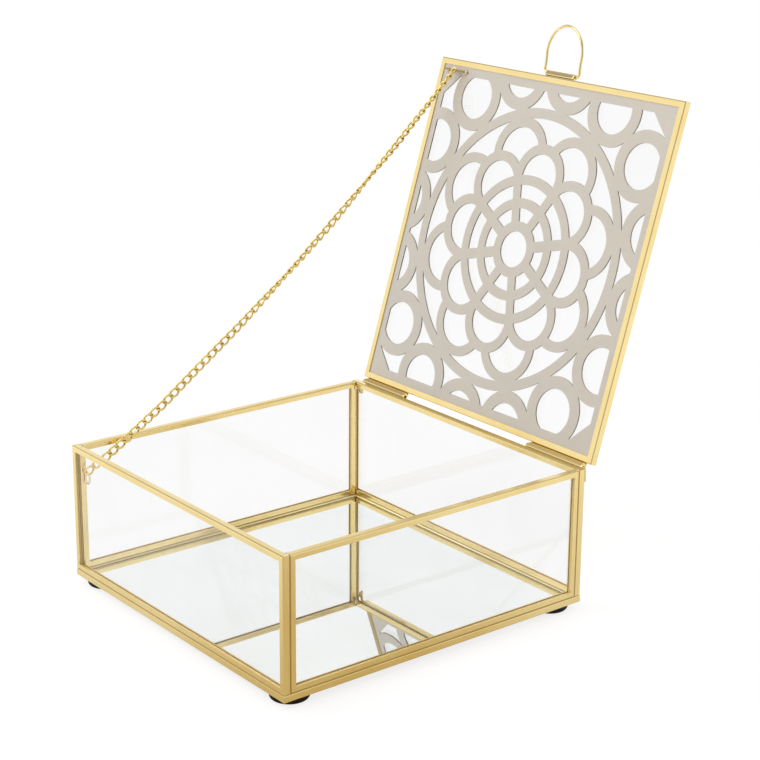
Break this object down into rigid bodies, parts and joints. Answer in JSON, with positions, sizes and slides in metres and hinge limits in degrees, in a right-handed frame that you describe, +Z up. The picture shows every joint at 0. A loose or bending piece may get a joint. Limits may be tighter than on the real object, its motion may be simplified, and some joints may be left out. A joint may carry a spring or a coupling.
{
  "type": "trinket box",
  "caption": "Square brass-edged glass trinket box with a mirror floor and a hinged lid with a pierced rosette plate, a stay chain and a wire bail.",
  "frame": {"origin": "on the resting plane, under the middle of the box and its open lid taken together", "axes": "+Z up; -Y is the front of the box, away from the hinge; +X to the right seen from the front; the hinge runs along X"},
  "size_m": [0.15, 0.2052, 0.2269],
  "materials": {
    "channel_brass": "brushed, light antique",
    "wire_brass": "drawn wire, satin",
    "chain_brass": "polished",
    "clear_glass": "clear float glass",
    "mirror": "silvered glass",
    "plate_enamel": "satin grey-beige",
    "black_rubber": "matt"
  },
  "bodies": {
    "box": {"front_rail_bottom": "channel_brass", "front_rail_top": "channel_brass", "front_rail_left": "channel_brass", "front_rail_right": "channel_brass", "back_rail_bottom": "channel_brass", "back_rail_top": "channel_brass", "back_rail_left": "channel_brass", "back_rail_right": "channel_brass", "left_rail_bottom": "channel_brass", "left_rail_top": "channel_brass", "left_rail_front": "channel_brass", "left_rail_back": "channel_brass", "right_rail_bottom": "channel_brass", "right_rail_top": "channel_brass", "right_rail_front": "channel_brass", "right_rail_back": "channel_brass", "base_rail_front": "channel_brass", "base_rail_back": "channel_brass", "base_rail_left": "channel_brass", "base_rail_right": "channel_brass", "front_glass": "clear_glass", "back_glass": "clear_glass", "left_glass": "clear_glass", "right_glass": "clear_glass", "mirror_floor": "mirror", "foot_front_left": "black_rubber", "foot_front_right": "black_rubber", "foot_back_left": "black_rubber", "foot_back_right": "black_rubber", "hinge_pin_left": "wire_brass", "hinge_pin_right": "wire_brass", "chain_eye_box": "chain_brass"},
    "lid": {"lid_rail_front": "channel_brass", "lid_rail_hinge": "channel_brass", "lid_rail_left": "channel_brass", "lid_rail_right": "channel_brass", "lid_glass": "clear_glass", "rosette_plate": "plate_enamel", "hinge_tube_left": "wire_brass", "hinge_tube_right": "wire_brass", "bail_tube": "wire_brass", "chain_eye_lid": "chain_brass"},
    "bail": {"bail": "wire_brass"},
    "chain_low_1": {"chain_low_1": "chain_brass"},
    "chain_low_2": {"chain_low_2": "chain_brass"},
    "chain_low_3": {"chain_low_3": "chain_brass"},
    "chain_low_4": {"chain_low_4": "chain_brass"},
    "chain_low_5": {"chain_low_5": "chain_brass"},
    "chain_high_1": {"chain_high_1": "chain_brass"},
    "chain_high_2": {"chain_high_2": "chain_brass"},
    "chain_high_3": {"chain_high_3": "chain_brass"},
    "chain_high_4": {"chain_high_4": "chain_brass"},
    "chain_high_5": {"chain_high_5": "chain_brass"},
    "chain_high_6": {"chain_high_6": "chain_brass"}
  },
  "joints": [
    {"name": "lid_hinge", "type": "hinge", "parent": "box", "child": "lid", "pos_m": [0, 0.04929, 0.06068], "axis": [1, 0, 0], "range_deg": [0, 107.2]},
    {"name": "bail_hinge", "type": "hinge", "parent": "lid", "child": "bail", "pos_m": [0, 0.09896, 0.20585], "axis": [1, 0, 0], "range_deg": [-170.6, 81.2]},
    {"name": "chain_low_1_turn", "type": "hinge", "parent": "box", "child": "chain_low_1", "pos_m": [-0.0697, -0.09748, 0.0499], "axis": [1, 0, 0], "range_deg": [-97.7, 0]},
    {"name": "chain_low_2_turn", "type": "hinge", "parent": "chain_low_1", "child": "chain_low_2", "pos_m": [-0.0697, -0.08129, 0.05998], "axis": [1, 0, 0], "range_deg": [-29.19, 0]},
    {"name": "chain_low_3_turn", "type": "hinge", "parent": "chain_low_2", "child": "chain_low_3", "pos_m": [-0.06948, -0.06123, 0.0731], "axis": [1, 0, 0], "range_deg": [0, 89.98]},
    {"name": "chain_low_4_turn", "type": "hinge", "parent": "chain_low_3", "child": "chain_low_4", "pos_m": [-0.06891, -0.0415, 0.08672], "axis": [1, 0, 0], "range_deg": [0, 0.861]},
    {"name": "chain_low_5_turn", "type": "hinge", "parent": "chain_low_4", "child": "chain_low_5", "pos_m": [-0.06812, -0.02213, 0.10083], "axis": [1, 0, 0], "range_deg": [-1.66, 0]},
    {"name": "chain_high_1_turn", "type": "hinge", "parent": "lid", "child": "chain_high_1", "pos_m": [-0.0653, 0.09163, 0.20111], "axis": [1, 0, 0], "range_deg": [-59.77, 0]},
    {"name": "chain_high_2_turn", "type": "hinge", "parent": "chain_high_1", "child": "chain_high_2", "pos_m": [-0.0653, 0.07823, 0.18753], "axis": [1, 0, 0], "range_deg": [0, 10.98]},
    {"name": "chain_high_3_turn", "type": "hinge", "parent": "chain_high_2", "child": "chain_high_3", "pos_m": [-0.0653, 0.06102, 0.17085], "axis": [1, 0, 0], "range_deg": [0, 66.58]},
    {"name": "chain_high_4_turn", "type": "hinge", "parent": "chain_high_3", "child": "chain_high_4", "pos_m": [-0.0657, 0.0434, 0.1546], "axis": [1, 0, 0], "range_deg": [0, 22.25]},
    {"name": "chain_high_5_turn", "type": "hinge", "parent": "chain_high_4", "child": "chain_high_5", "pos_m": [-0.06631, 0.02537, 0.13881], "axis": [1, 0, 0], "range_deg": [0, 6.19]},
    {"name": "chain_high_6_turn", "type": "hinge", "parent": "chain_high_5", "child": "chain_high_6", "pos_m": [-0.06702, 0.00694, 0.12348], "axis": [1, 0, 0], "range_deg": [-94.69, 0]}
  ],
  "couplings": [
    {"joint": "chain_low_1_turn", "follows": "lid_hinge", "ratio": -0.90955},
    {"joint": "chain_low_2_turn", "follows": "lid_hinge", "ratio": -0.2704},
    {"joint": "chain_low_3_turn", "follows": "lid_hinge", "ratio": 0.83748},
    {"joint": "chain_low_4_turn", "follows": "lid_hinge", "ratio": 0.0061679},
    {"joint": "chain_low_5_turn", "follows": "lid_hinge", "ratio": -0.013621},
    {"joint": "chain_high_1_turn", "follows": "lid_hinge", "ratio": -0.55573},
    {"joint": "chain_high_2_turn", "follows": "lid_hinge", "ratio": 0.10057},
    {"joint": "chain_high_3_turn", "follows": "lid_hinge", "ratio": 0.61921},
    {"joint": "chain_high_4_turn", "follows": "lid_hinge", "ratio": 0.20574},
    {"joint": "chain_high_5_turn", "follows": "lid_hinge", "ratio": 0.055844},
    {"joint": "chain_high_6_turn", "follows": "lid_hinge", "ratio": -0.88148}
  ]
}
